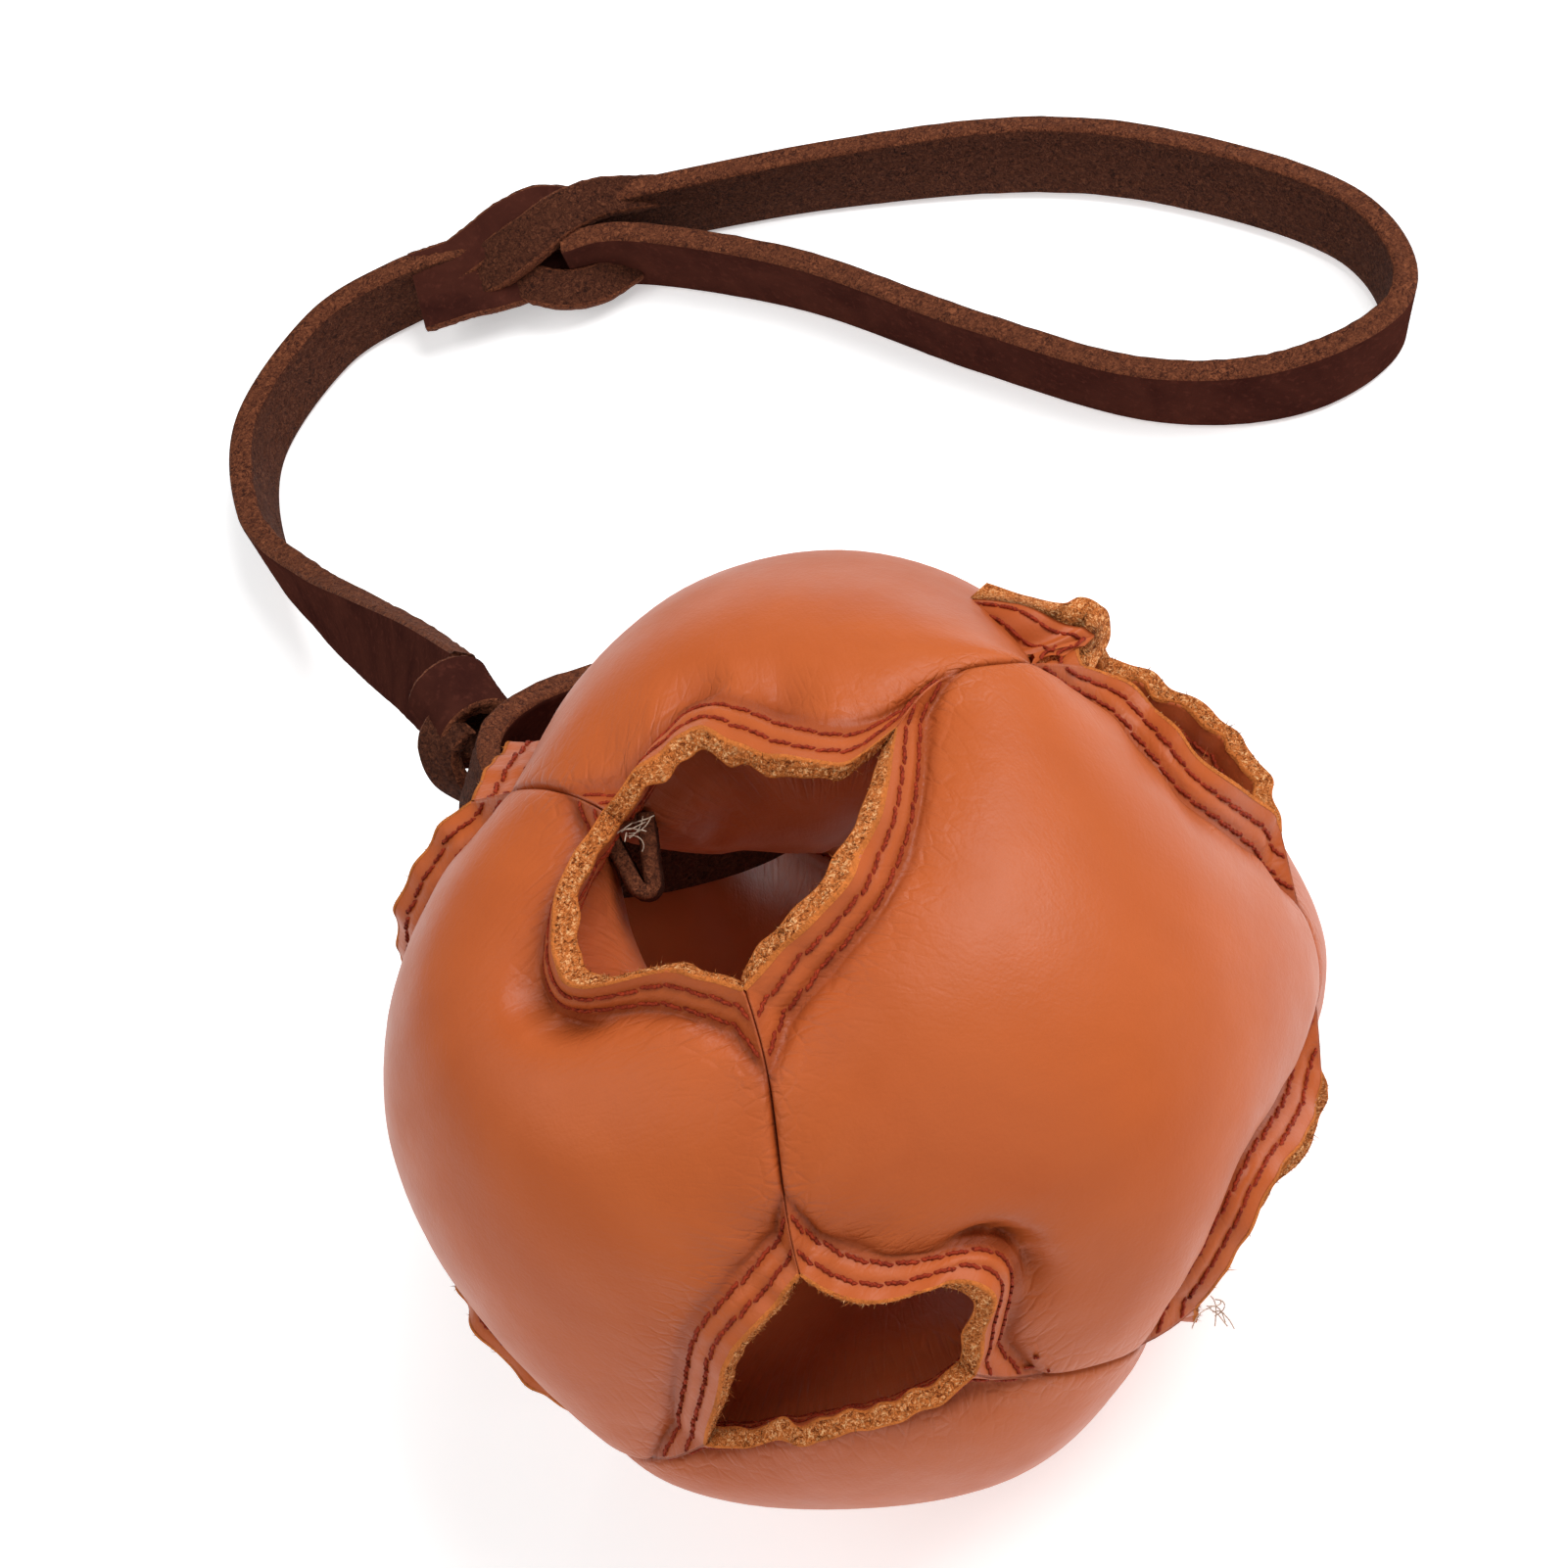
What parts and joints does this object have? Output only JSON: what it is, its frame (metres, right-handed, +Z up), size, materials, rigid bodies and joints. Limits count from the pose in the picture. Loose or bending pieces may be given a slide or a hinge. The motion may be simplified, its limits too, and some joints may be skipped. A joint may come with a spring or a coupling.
{
  "type": "hollow stuffed leather grip ball with wrist strap",
  "caption": "Soft hollow ball of stuffed leather pods sewn edge to edge, open at the corners, with a tied leather strap that ends in a braided hand loop.",
  "frame": {"origin": "on the table under the centre of the ball, at the middle of the base of its bounding box", "axes": "+Z up through the middle of the upper opening; +X through the middle of the opening on the right; +Y away from the viewer, towards the strap"},
  "size_m": [0.2152, 0.2631, 0.1218],
  "materials": {
    "panel_leather": "smooth tan grain leather, soft sheen",
    "lining_leather": "smooth tan grain leather, shaded",
    "filling_fibre": "loose fibre",
    "stitch_thread": "waxed dark red thread",
    "strap_leather": "oiled dark brown leather, suede on the back"
  },
  "bodies": {
    "ball": {"front_pod_outer_panel": "panel_leather", "front_pod_lining": "lining_leather", "front_pod_filling": "filling_fibre", "left_pod_outer_panel": "panel_leather", "left_pod_lining": "lining_leather", "left_pod_filling": "filling_fibre", "top_pod_outer_panel": "panel_leather", "top_pod_lining": "lining_leather", "top_pod_filling": "filling_fibre", "back_pod_outer_panel": "panel_leather", "back_pod_lining": "lining_leather", "back_pod_filling": "filling_fibre", "right_pod_outer_panel": "panel_leather", "right_pod_lining": "lining_leather", "right_pod_filling": "filling_fibre", "bottom_pod_outer_panel": "panel_leather", "bottom_pod_lining": "lining_leather", "bottom_pod_filling": "filling_fibre", "upper_opening_stitching": "stitch_thread", "left_opening_stitching": "stitch_thread", "upper_right_opening_stitching": "stitch_thread", "front_opening_stitching": "stitch_thread", "lower_left_opening_stitching": "stitch_thread", "rear_opening_stitching": "stitch_thread", "lower_right_opening_stitching": "stitch_thread", "under_opening_stitching": "stitch_thread", "strap_tie": "strap_leather", "strap_inner_end": "strap_leather"},
    "tie_knot": {"strap_knot": "strap_leather"},
    "strap": {"strap_lead": "strap_leather", "strap_braid": "strap_leather", "strap_hand_loop": "strap_leather"}
  },
  "joints": [
    {"name": "strap_swing", "type": "hinge", "parent": "ball", "child": "tie_knot", "pos_m": [-0.0175, 0.0718, 0.0695], "axis": [0, 0, 1], "range_deg": [-45, 45]},
    {"name": "strap_lift", "type": "hinge", "parent": "tie_knot", "child": "strap", "pos_m": [-0.0175, 0.0718, 0.0695], "axis": [1, 0, 0], "range_deg": [0, 70]}
  ]
}
